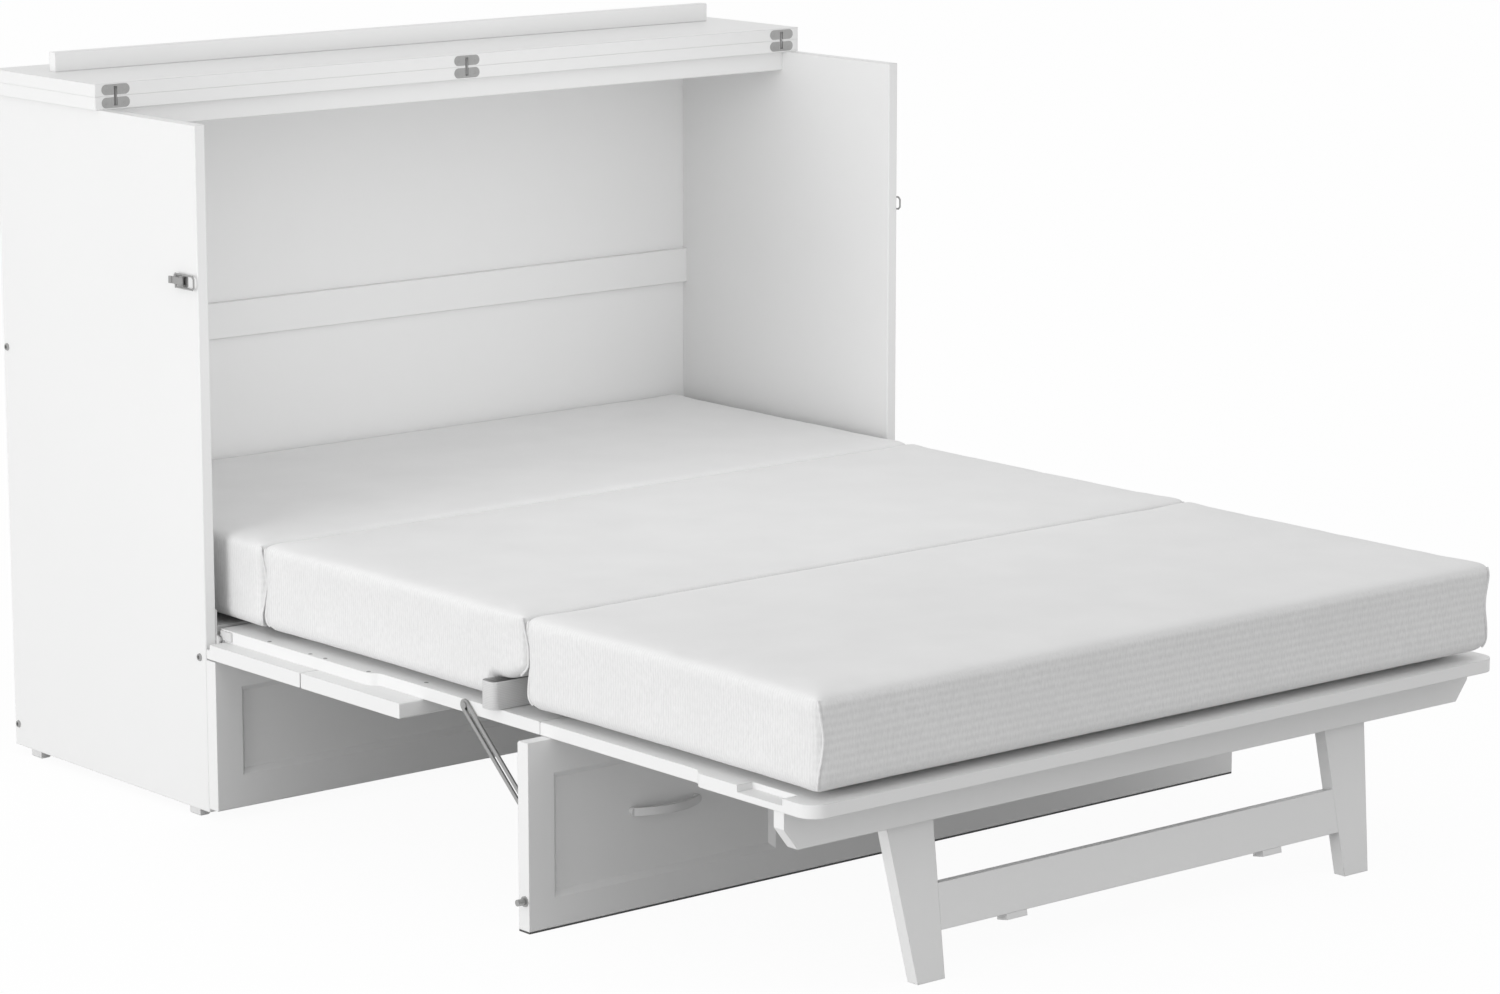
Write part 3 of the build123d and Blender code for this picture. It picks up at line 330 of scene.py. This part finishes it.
def strap_webbing_finish():
    material, tree, shader = finish("strap_webbing", STRAP_GREY, 0.8, Sheen_Weight=0.15)
    place = object_place(tree)
    ribs = rib(three_parts(tree, place)[2], STRAP_RIB_PITCH)
    fuzz = noise(tree, place, FUZZ_SCALE)
    weave = ribs * 0.6 + fuzz * 0.4
    feed(tree, shader.inputs["Base Color"], shade(tree, weave, STRAP_DARK, STRAP_LIGHT))
    bumped(tree, shader, ribs + fuzz * 0.3, strength=0.4, distance=STRAP_RIB_DEPTH)
    return material


def speckled_plastic(name, dark, light, roughness):
    material, tree, shader = finish(name, light, roughness)
    grain = noise(tree, object_place(tree), GRAIN_SCALE, detail=3.0)
    feed(tree, shader.inputs["Base Color"], shade(tree, grain, dark, light))
    feed(tree, shader.inputs["Roughness"], roughness - 0.08 + grain * 0.16)
    bumped(tree, shader, grain, strength=0.15, distance=GRAIN_DEPTH)
    return material


finishes = {
    "white_paint": white_paint,
    "painted_pull": painted_pull,
    "nickel_hardware": nickel_hardware,
    "mattress_knit": mattress_knit,
    "strap_webbing": strap_webbing_finish(),
    # The dark_strip finish is painted shadow along the foot of the mid panel.
    "dark_strip": speckled_plastic("dark_strip", SHADOW_STRIP_DARK, SHADOW_STRIP_LIGHT, 0.7),
    "glide_plastic": speckled_plastic("glide_plastic", GLIDE_DARK, GLIDE_LIGHT, 0.5),
}
for name, piece in nodes.items():
    piece.data.materials.clear()
    piece.data.materials.append(finishes[slot_of[name]])
print("finishes given to", len(nodes), "nodes")

# %% [markdown]
# ## One way to add a piece
#
# Every new piece is a bmesh that ends as an object at the origin, with its place in its mesh. It rides on
# a body of the frame and takes a slot's finish.

# %% From bmesh to a riding piece
def add_piece(name, shape, body, slot, smooth=True):
    mesh = bpy.data.meshes.new(name)
    bmesh.ops.recalc_face_normals(shape, faces=shape.faces)
    shape.to_mesh(mesh)
    shape.free()
    mesh.materials.append(finishes[slot])
    for face in mesh.polygons:
        face.use_smooth = smooth
    piece = bpy.data.objects.new(name, mesh)
    bpy.context.scene.collection.objects.link(piece)
    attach(piece, body)
    return piece


# %% [markdown]
# ## Mattress sections
#
# Each section is a foam block in a sewn cover. The block starts as a cube with bevelled edges, a little
# smaller than the space it fills. A voxel remesh gives it even faces, and a short cloth run with pressure
# swells the cover, with a cap on each point's travel. Then the sides are drawn in at half height and
# tucked under at the bottom, as the cover of a real section is, and the whole is brought to the size of
# its place in the frame.

# %% Foam block before the cover swells
SECTION_BODIES = {
    "mattress_head": "head_section",
    "mattress_middle": "middle_section",
    "mattress_foot": "foot_section",
}
INSET = 2.0 * MM
CORNER_R = 15.0 * MM
TOP_R = 17.0 * MM
UNDER_R = 12.0 * MM
TINY = 0.01 * MM


def round_edges(block, edges, radius):
    bmesh.ops.bevel(block, geom=edges, offset=radius, offset_type="OFFSET", segments=4,
                    profile=0.5, affect="EDGES", material=-1)


def level_edges(block, height):
    """Edges that lie at one height."""
    return [e for e in block.edges if all(abs(v.co.z - height) < TINY for v in e.verts)]


def foam_block(low, high):
    """Cube with round upright corners and round top and bottom edges."""
    size = high - low - Vector((2 * INSET, 2 * INSET, INSET))
    centre = (low + high) / 2 - Vector((0, 0, INSET / 2))
    block = bmesh.new()
    bmesh.ops.create_cube(block, size=1.0)
    bmesh.ops.scale(block, vec=size, verts=block.verts)
    bmesh.ops.translate(block, vec=centre, verts=block.verts)
    upright = [e for e in block.edges if abs(e.verts[0].co.z - e.verts[1].co.z) > size.z / 2]
    round_edges(block, upright, CORNER_R)
    round_edges(block, level_edges(block, centre.z + size.z / 2), TOP_R)
    round_edges(block, level_edges(block, centre.z - size.z / 2), UNDER_R)
    return block


# %% Swell the cover with a short cloth run
CLOTH_FRAMES = 16
COVER_STIFFNESS = 30
COVER_BENDING = 2
SWELL = 4.0 * MM


def swell_cover(piece, pressure):
    """Cloth with pressure and no gravity, applied to the mesh with a cap on each point's travel."""
    start = [v.co.copy() for v in piece.data.vertices]
    cloth = piece.modifiers.new("swell", "CLOTH")
    cloth.settings.use_pressure = True
    cloth.settings.uniform_pressure_force = pressure
    cloth.settings.tension_stiffness = COVER_STIFFNESS
    cloth.settings.compression_stiffness = COVER_STIFFNESS
    cloth.settings.bending_stiffness = COVER_BENDING
    cloth.settings.effector_weights.gravity = 0.0
    cloth.point_cache.frame_end = CLOTH_FRAMES
    scene = bpy.context.scene
    for step in range(1, CLOTH_FRAMES + 1):
        scene.frame_set(step)
    settled = piece.evaluated_get(bpy.context.evaluated_depsgraph_get()).to_mesh()
    moved = [v.co.copy() for v in settled.vertices]
    piece.to_mesh_clear()
    piece.modifiers.remove(cloth)
    scene.frame_set(1)
    for vertex, before, after in zip(piece.data.vertices, start, moved):
        travel = after - before
        if travel.length > SWELL:
            travel *= SWELL / travel.length
        vertex.co = before + travel
    return max((a - b).length for a, b in zip(start, moved))


# %% Draw the sides in and bring a section to its size
DRAW_IN = 5.0 * MM
WAIST = 4.0 * MM
END_DRAW_SHARE = 0.3
END_WAIST_SHARE = 0.5
TUCK = 8.0 * MM
TUCK_HIGH = 34.0 * MM
RIM_LIFT = 10.0 * MM
RIM_RUN = 60.0 * MM


def draw_in_sides(mesh, low, high):
    """Pulls the sides in between the corners and at half height, and tucks the lifted lower rim under."""
    centre, half = (low + high) / 2, (high - low) / 2
    for vertex in mesh.vertices:
        u, v, w = ((vertex.co[i] - centre[i]) / half[i] for i in range(3))
        waist = WAIST * max(0.0, 1 - w * w)
        lower = max(0.0, 1 - (vertex.co.z - low.z) / TUCK_HIGH)
        inward = min((1 - abs(u)) * half.x, (1 - abs(v)) * half.y)
        tuck = TUCK * lower ** 2
        vertex.co.z += lower * RIM_LIFT * max(0.0, 1 - inward / RIM_RUN)
        vertex.co.x -= u * (DRAW_IN * (1 - v * v) + waist + tuck)
        vertex.co.y -= v * (DRAW_IN * END_DRAW_SHARE * (1 - u * u) + waist * END_WAIST_SHARE + tuck)


def fit_to_box(mesh, low, high):
    """Stretches the section along each axis, so that it just fills its place."""
    for axis in range(3):
        values = [v.co[axis] for v in mesh.vertices]
        least, most = min(values), max(values)
        stretch = (high[axis] - low[axis]) / (most - least)
        for vertex in mesh.vertices:
            vertex.co[axis] = low[axis] + (vertex.co[axis] - least) * stretch


# %% What lies under the mattress lifts it
STRAP_ROOM = 1.0 * MM
LIFT_RUN = 16.0 * MM
FOOT_END_LIFT = 63.0 * MM
HINGE_SPAN = 0.56
HINGE_RUN = 22.0 * MM
HINGE_LIFT = 4.0 * MM
DENT_FLAT = 1.6
DENT_REACH = 32.0 * MM


def smooth_step(share):
    share = min(max(share, 0.0), 1.0)
    return share * share * (3 - 2 * share)


def lift_over_strap(mesh, low, high):
    """The underside lies flat on the strap, and rises on from there to the section's foot end."""
    strap_low, strap_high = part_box("mattress_strap")
    tall = high.z - low.z
    for vertex in mesh.vertices:
        rise = strap_high.z + STRAP_ROOM - low.z
        if vertex.co.y < strap_low.y:
            rise += (FOOT_END_LIFT - rise) * (strap_low.y - vertex.co.y) / (strap_low.y - low.y)
        share = max(vertex.co.z - low.z - RIM_LIFT, 0.0) / (tall - RIM_LIFT)
        lifted = low.z + rise + share * (tall - rise)
        near = smooth_step((strap_high.y + LIFT_RUN - vertex.co.y) / LIFT_RUN)
        vertex.co.z += near * (lifted - vertex.co.z)


def lift_over_hinges(mesh, low, high):
    """A shallow dent in the underside over the slab hinges."""
    pins_low, pins_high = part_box("slab_hinge_pins")
    joint = (pins_low.y + pins_high.y) / 2
    for vertex in mesh.vertices:
        if abs(vertex.co.x) < HINGE_SPAN:
            up = HINGE_LIFT * smooth_step(DENT_FLAT * (1 - abs(vertex.co.y - joint) / HINGE_RUN))
            vertex.co.z += up * max(0.0, 1 - (vertex.co.z - low.z) / DENT_REACH)


LIFTS = {"mattress_middle": lift_over_strap, "mattress_foot": lift_over_hinges}

# %% [markdown]
# In the closed chest the head section is pressed flat against the batten on the back panel. Here the head
# section and its welts only get a mesh of their own; nothing squashes them.

# %% Make the three sections
VOXEL = 10.6 * MM
PRESSURE = 4.0
PRESSED = "mattress_head"


def press_when_closed(piece, node):
    if node == PRESSED:
        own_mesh(piece)


def mattress_section(node):
    low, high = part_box(node)
    piece = add_piece(node + "_cover", foam_block(low, high), SECTION_BODIES[node], "mattress_knit")
    piece.data.remesh_voxel_size = VOXEL
    bpy.context.view_layer.objects.active = piece
    bpy.ops.object.voxel_remesh()
    travel = swell_cover(piece, PRESSURE)
    draw_in_sides(piece.data, low, high)
    fit_to_box(piece.data, low, high)
    if node in LIFTS:
        LIFTS[node](piece.data, low, high)
    for face in piece.data.polygons:
        face.use_smooth = True
    finer = piece.modifiers.new("finer", "SUBSURF")
    finer.levels = 1
    finer.render_levels = 1
    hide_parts(node)
    press_when_closed(piece, node)
    print(node, "faces", len(piece.data.polygons), "free travel %.4f" % travel)
    return piece


sections = {node: mattress_section(node) for node in SECTION_BODIES}

# %% [markdown]
# ## Welts at the corners
#
# A thin corded seam runs down every upright corner of the cover. It starts at the corner, strays on to the
# end face at half height, and comes back to the corner above the slab. A curve with a round bevel draws
# such a cord. Each of its points is first put on the nearest place of the finished cover, and kept inside
# the section's own space, because the folded sections stand on these ends.

# %% A cord along a path on the cover
WELT_R = 2.2 * MM
WELT_STRAY = 13.0 * MM
WELT_STEPS = 24
WELT_ENDS = 5.0 * MM
WELT_PROUD = 0.5 * WELT_R
WELT_RETURN = 0.85


def tube(name, paths, radius):
    """bmesh of round cords along lists of points."""
    curve = bpy.data.curves.new(name, "CURVE")
    curve.dimensions = "3D"
    curve.bevel_depth = radius
    curve.bevel_resolution = 2
    curve.use_fill_caps = True
    for path in paths:
        spline = curve.splines.new("POLY")
        spline.points.add(len(path) - 1)
        for point, place in zip(spline.points, path):
            point.co = (*place, 1.0)
    holder = bpy.data.objects.new(name, curve)
    bpy.context.scene.collection.objects.link(holder)
    shape = bmesh.new()
    shape.from_mesh(holder.evaluated_get(bpy.context.evaluated_depsgraph_get()).to_mesh())
    bpy.data.objects.remove(holder)
    return shape


def welt_path(cover, low, high, side, end_y):
    """Points down one corner of a section, laid on its cover."""
    edge = side * high.x
    path = []
    for step in range(WELT_STEPS + 1):
        down = step / WELT_STEPS
        stray = WELT_STRAY * math.sin(math.pi * min(down / WELT_RETURN, 1.0)) ** 1.5
        height = high.z - WELT_ENDS - down * (high.z - low.z - 2 * WELT_ENDS)
        spot, normal, _, _ = cover.find_nearest(Vector((edge - side * stray, end_y, height)))
        spot = spot + normal * WELT_PROUD
        path.append([min(max(spot[i], low[i] + WELT_R), high[i] - WELT_R) for i in range(3)])
    return path


def welts(node):
    low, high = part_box(node)
    cover = BVHTree.FromObject(sections[node], bpy.context.evaluated_depsgraph_get())
    paths = [welt_path(cover, low, high, side, y) for side in (-1, 1) for y in (low.y, high.y)]
    piece = add_piece(node + "_welts", tube(node, paths, WELT_R), SECTION_BODIES[node], "mattress_knit")
    press_when_closed(piece, node)
    return piece


for node in SECTION_BODIES:
    print(welts(node).name)

# %% [markdown]
# ## The strap
#
# A band of grey webbing stands on its edge under the middle section: a flat loop that sticks out past the
# slab on both sides. It is the four upright faces of a box with round corners. Solidify gives the webbing
# its thickness, and a small bevel its soft edges.

# %% A loop of webbing
STRAP_TURN_R = 10.0 * MM
STRAP_THICK = 1.4 * MM
STRAP_EDGE_R = 0.3 * STRAP_THICK


def strap_loop():
    low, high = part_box("mattress_strap")
    size = high - low
    loop = bmesh.new()
    bmesh.ops.create_cube(loop, size=1.0)
    bmesh.ops.scale(loop, vec=size, verts=loop.verts)
    bmesh.ops.translate(loop, vec=(low + high) / 2, verts=loop.verts)
    open_faces = [f for f in loop.faces if abs(f.normal.z) > 0.5]
    bmesh.ops.delete(loop, geom=open_faces, context="FACES_ONLY")
    upright = [e for e in loop.edges if abs(e.verts[0].co.z - e.verts[1].co.z) > size.z / 2]
    round_edges(loop, upright, STRAP_TURN_R)
    piece = add_piece("webbing_strap", loop, "middle_section", "strap_webbing")
    wall = piece.modifiers.new("webbing", "SOLIDIFY")
    wall.thickness = STRAP_THICK
    wall.offset = -1.0
    soft = piece.modifiers.new("soft edges", "BEVEL")
    soft.width = STRAP_EDGE_R
    soft.segments = 2
    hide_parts("mattress_strap")
    return piece


strap_loop()

# %% [markdown]
# ## Screws
#
# Screws are the last thing a maker drives in, and the eye looks for them. Each is a low cone with a sunk
# socket: two insets of its top face, the second pushed down. Big ones join the cabinet's sides, small ones
# hold the oval hinge plates, and flat ones sit in the slab's top edge.

# %% One screw head
HEAD_SEGMENTS = 16
HEAD_TAPER = 0.82
SOCKET_RING = 0.36
SOCKET_WALL = 0.04
SOCKET_DEPTH = 0.7


def screw_head(shape, place, way, radius, rise):
    """Adds a head that stands at a place and faces a way."""
    turn = Vector(way).to_track_quat("Z", "Y").to_matrix().to_4x4()
    stand = Matrix.Translation(place) @ turn @ Matrix.Translation((0, 0, rise / 2))
    made = bmesh.ops.create_cone(shape, cap_ends=True, segments=HEAD_SEGMENTS, radius1=radius,
                                 radius2=radius * HEAD_TAPER, depth=rise, matrix=stand)
    faces = {face for vertex in made["verts"] for face in vertex.link_faces}
    top = max(faces, key=lambda face: face.calc_center_median().dot(Vector(way)))
    bmesh.ops.inset_individual(shape, faces=[top], thickness=radius * SOCKET_RING, depth=0.0)
    bmesh.ops.inset_individual(shape, faces=[top], thickness=radius * SOCKET_WALL,
                               depth=-rise * SOCKET_DEPTH)


# %% Drive them in
WALL_Y = cad_box[1][1]
SIDE_SCREWS = ((11.0, 48.0), (11.0, 692.0), (570.0, 263.0))
SLAB_SCREWS = ((694.0, 713.0), (694.0, 825.0), (694.0, 865.0), (694.0, 980.0), (669.0, 1095.0))
PLATE_PLACES = (-698.0, 0.0, 698.0)
PLATE_SCREW_OUT = 17.0 * MM
SIDE_HEAD = {"radius": 6.5 * MM, "rise": 2.6 * MM}
SLAB_HEAD = {"radius": 3.6 * MM, "rise": 0.5 * MM}
PLATE_HEAD = {"radius": 3.0 * MM, "rise": 0.3 * MM}


def side_screw_heads():
    shape = bmesh.new()
    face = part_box("right_side_panel")[1].x
    for d, z in SIDE_SCREWS:
        for side in (-1, 1):
            place = Vector((side * face, WALL_Y - d * MM, z * MM))
            screw_head(shape, place, (side, 0, 0), **SIDE_HEAD)
    piece = add_piece("side_screw_heads", shape, "cabinet", "nickel_hardware", smooth=False)
    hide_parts("side_screws")
    return piece


def slab_screw_heads():
    shape = bmesh.new()
    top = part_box("middle_slab")[1].z
    for x, d in SLAB_SCREWS:
        for side in (-1, 1):
            place = Vector((side * x * MM, WALL_Y - d * MM, top))
            screw_head(shape, place, (0, 0, 1), **SLAB_HEAD)
    return add_piece("slab_screw_heads", shape, "middle_platform", "nickel_hardware", smooth=False)


def plate_screw_heads(node, body):
    shape = bmesh.new()
    low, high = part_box(node)
    for x in PLATE_PLACES:
        for side in (-1, 1):
            place = Vector((x * MM + side * PLATE_SCREW_OUT, low.y, (low.z + high.z) / 2))
            screw_head(shape, place, (0, -1, 0), **PLATE_HEAD)
    return add_piece(node + "_screws", shape, body, "nickel_hardware", smooth=False)


screws = [side_screw_heads(), slab_screw_heads()]
screws.append(plate_screw_heads("lid_rear_plates", "cabinet"))
screws.append(plate_screw_heads("lid_front_plates", "lid_leaf"))
print("screw pieces", [piece.name for piece in screws])

# %% [markdown]
# ## Camera, light and floor
#
# The photograph was taken with a long lens from the left of the foot end, a little above the bed. The
# light is a broad white room with one large lamp on the left, so that the left faces are the brightest and
# the faces towards the foot are the darkest. A weak lamp over the foot end, with a narrow spread, lights
# the inside of the cabinet.

# %% Camera at the photograph's viewing angle
CAMERA_PLACE = (-4.7517, -5.7158, 1.9633)
CAMERA_TURN = 39.968
CAMERA_DOWN = 11.163
LENS = 113.2
SENSOR_WIDTH = 36.0
FARTHEST = 100.0

camera_data = bpy.data.cameras.new("camera")
camera_data.lens = LENS
camera_data.sensor_width = SENSOR_WIDTH
camera_data.clip_end = FARTHEST
camera = bpy.data.objects.new("camera", camera_data)
camera.location = CAMERA_PLACE
camera.rotation_euler = (math.radians(90 - CAMERA_DOWN), 0, math.radians(-CAMERA_TURN))
bpy.context.scene.collection.objects.link(camera)
bpy.context.scene.camera = camera
print("camera", LENS, "mm")

# %% White room with a lamp on the left
WORLD_LEVEL = 0.85
LAMP_AIM = Vector((0.0, 0.0, 0.5))
LAMP_WAY = Vector((-1.0, -0.06, 0.08))
LAMP_FAR = 7.0
LAMP_SIZE = (3.5, 3.0)
LAMP_WATTS = 220.0
FILL_PLACE = Vector((-0.4, -1.3, 1.0))
FILL_AIM = Vector((0.15, 1.0, 0.8))
FILL_SIZE = (1.3, 0.4)
FILL_WATTS = 1.6
FILL_SPREAD = math.radians(55)


def seen_directly(tree):
    """1 for a ray from the camera, or one that shows the surroundings in metal, and 0 for other rays."""
    path = make_node(tree, "LightPath")
    rays = {s.name: Signal(tree, s) for s in path.socket.node.outputs}
    shown = rays["Is Camera Ray"].math("MAXIMUM", rays["Is Camera Ray"], rays["Is Glossy Ray"])
    return shown.math("MAXIMUM", shown, rays["Is Transmission Ray"])


def white_room():
    world = bpy.data.worlds.new("room")
    world.use_nodes = True
    tree = world.node_tree
    background = tree.nodes["Background"]
    feed(tree, background.inputs["Color"], (1.0, 1.0, 1.0))
    feed(tree, background.inputs["Strength"], seen_directly(tree) * (1.0 - WORLD_LEVEL) + WORLD_LEVEL)
    bpy.context.scene.world = world


def soft_lamp(name, place, target, size, watts, spread=math.pi):
    lamp = bpy.data.lights.new(name, "AREA")
    lamp.shape = "RECTANGLE"
    lamp.size, lamp.size_y = size
    lamp.energy = watts
    lamp.spread = spread
    holder = bpy.data.objects.new(name, lamp)
    holder.location = place
    holder.visible_glossy = False
    holder.rotation_euler = (Vector(target) - Vector(place)).to_track_quat("-Z", "Y").to_euler()
    bpy.context.scene.collection.objects.link(holder)


white_room()
soft_lamp("left_lamp", LAMP_AIM + LAMP_WAY.normalized() * LAMP_FAR, LAMP_AIM, LAMP_SIZE, LAMP_WATTS)
soft_lamp("cabinet_fill", FILL_PLACE, FILL_AIM, FILL_SIZE, FILL_WATTS, FILL_SPREAD)
bpy.context.scene.view_settings.view_transform = "Standard"
print("room level", WORLD_LEVEL)

# %% Pale floor that keeps the shadow
FLOOR_HALF = 30.0
FLOOR_GREY = 0.55
FLOOR_GLOW = 0.95
FLOOR_SHOWN = 0.95
FLOOR_DROP = 0.5 * MM


def pale_floor():
    """White to the camera, with the shadow showing through, and a calm grey to the light that bounces."""
    ground = bmesh.new()
    bmesh.ops.create_grid(ground, x_segments=1, y_segments=1, size=FLOOR_HALF)
    mesh = bpy.data.meshes.new("floor")
    ground.to_mesh(mesh)
    ground.free()
    grey = (FLOOR_GREY,) * 3
    material, tree, shader = finish("pale_floor", grey, 0.9, Specular_IOR_Level=0.0)
    shown = seen_directly(tree)
    feed(tree, shader.inputs["Base Color"], shade(tree, shown, grey, (FLOOR_SHOWN,) * 3))
    glow = make_node(tree, "Emission", Color=(1.0, 1.0, 1.0), Strength=1.0)
    lit = Signal(tree, shader.outputs[0])
    mixed = tree.nodes.new("ShaderNodeMixShader")
    feed(tree, mixed.inputs[0], shown * FLOOR_GLOW)
    feed(tree, mixed.inputs[1], lit)
    feed(tree, mixed.inputs[2], glow)
    tree.links.new(mixed.outputs[0], tree.nodes["Material Output"].inputs["Surface"])
    mesh.materials.append(material)
    floor = bpy.data.objects.new("floor", mesh)
    floor.location.z = -FLOOR_DROP
    bpy.context.scene.collection.objects.link(floor)


pale_floor()
print("floor", 2 * FLOOR_HALF, "m")
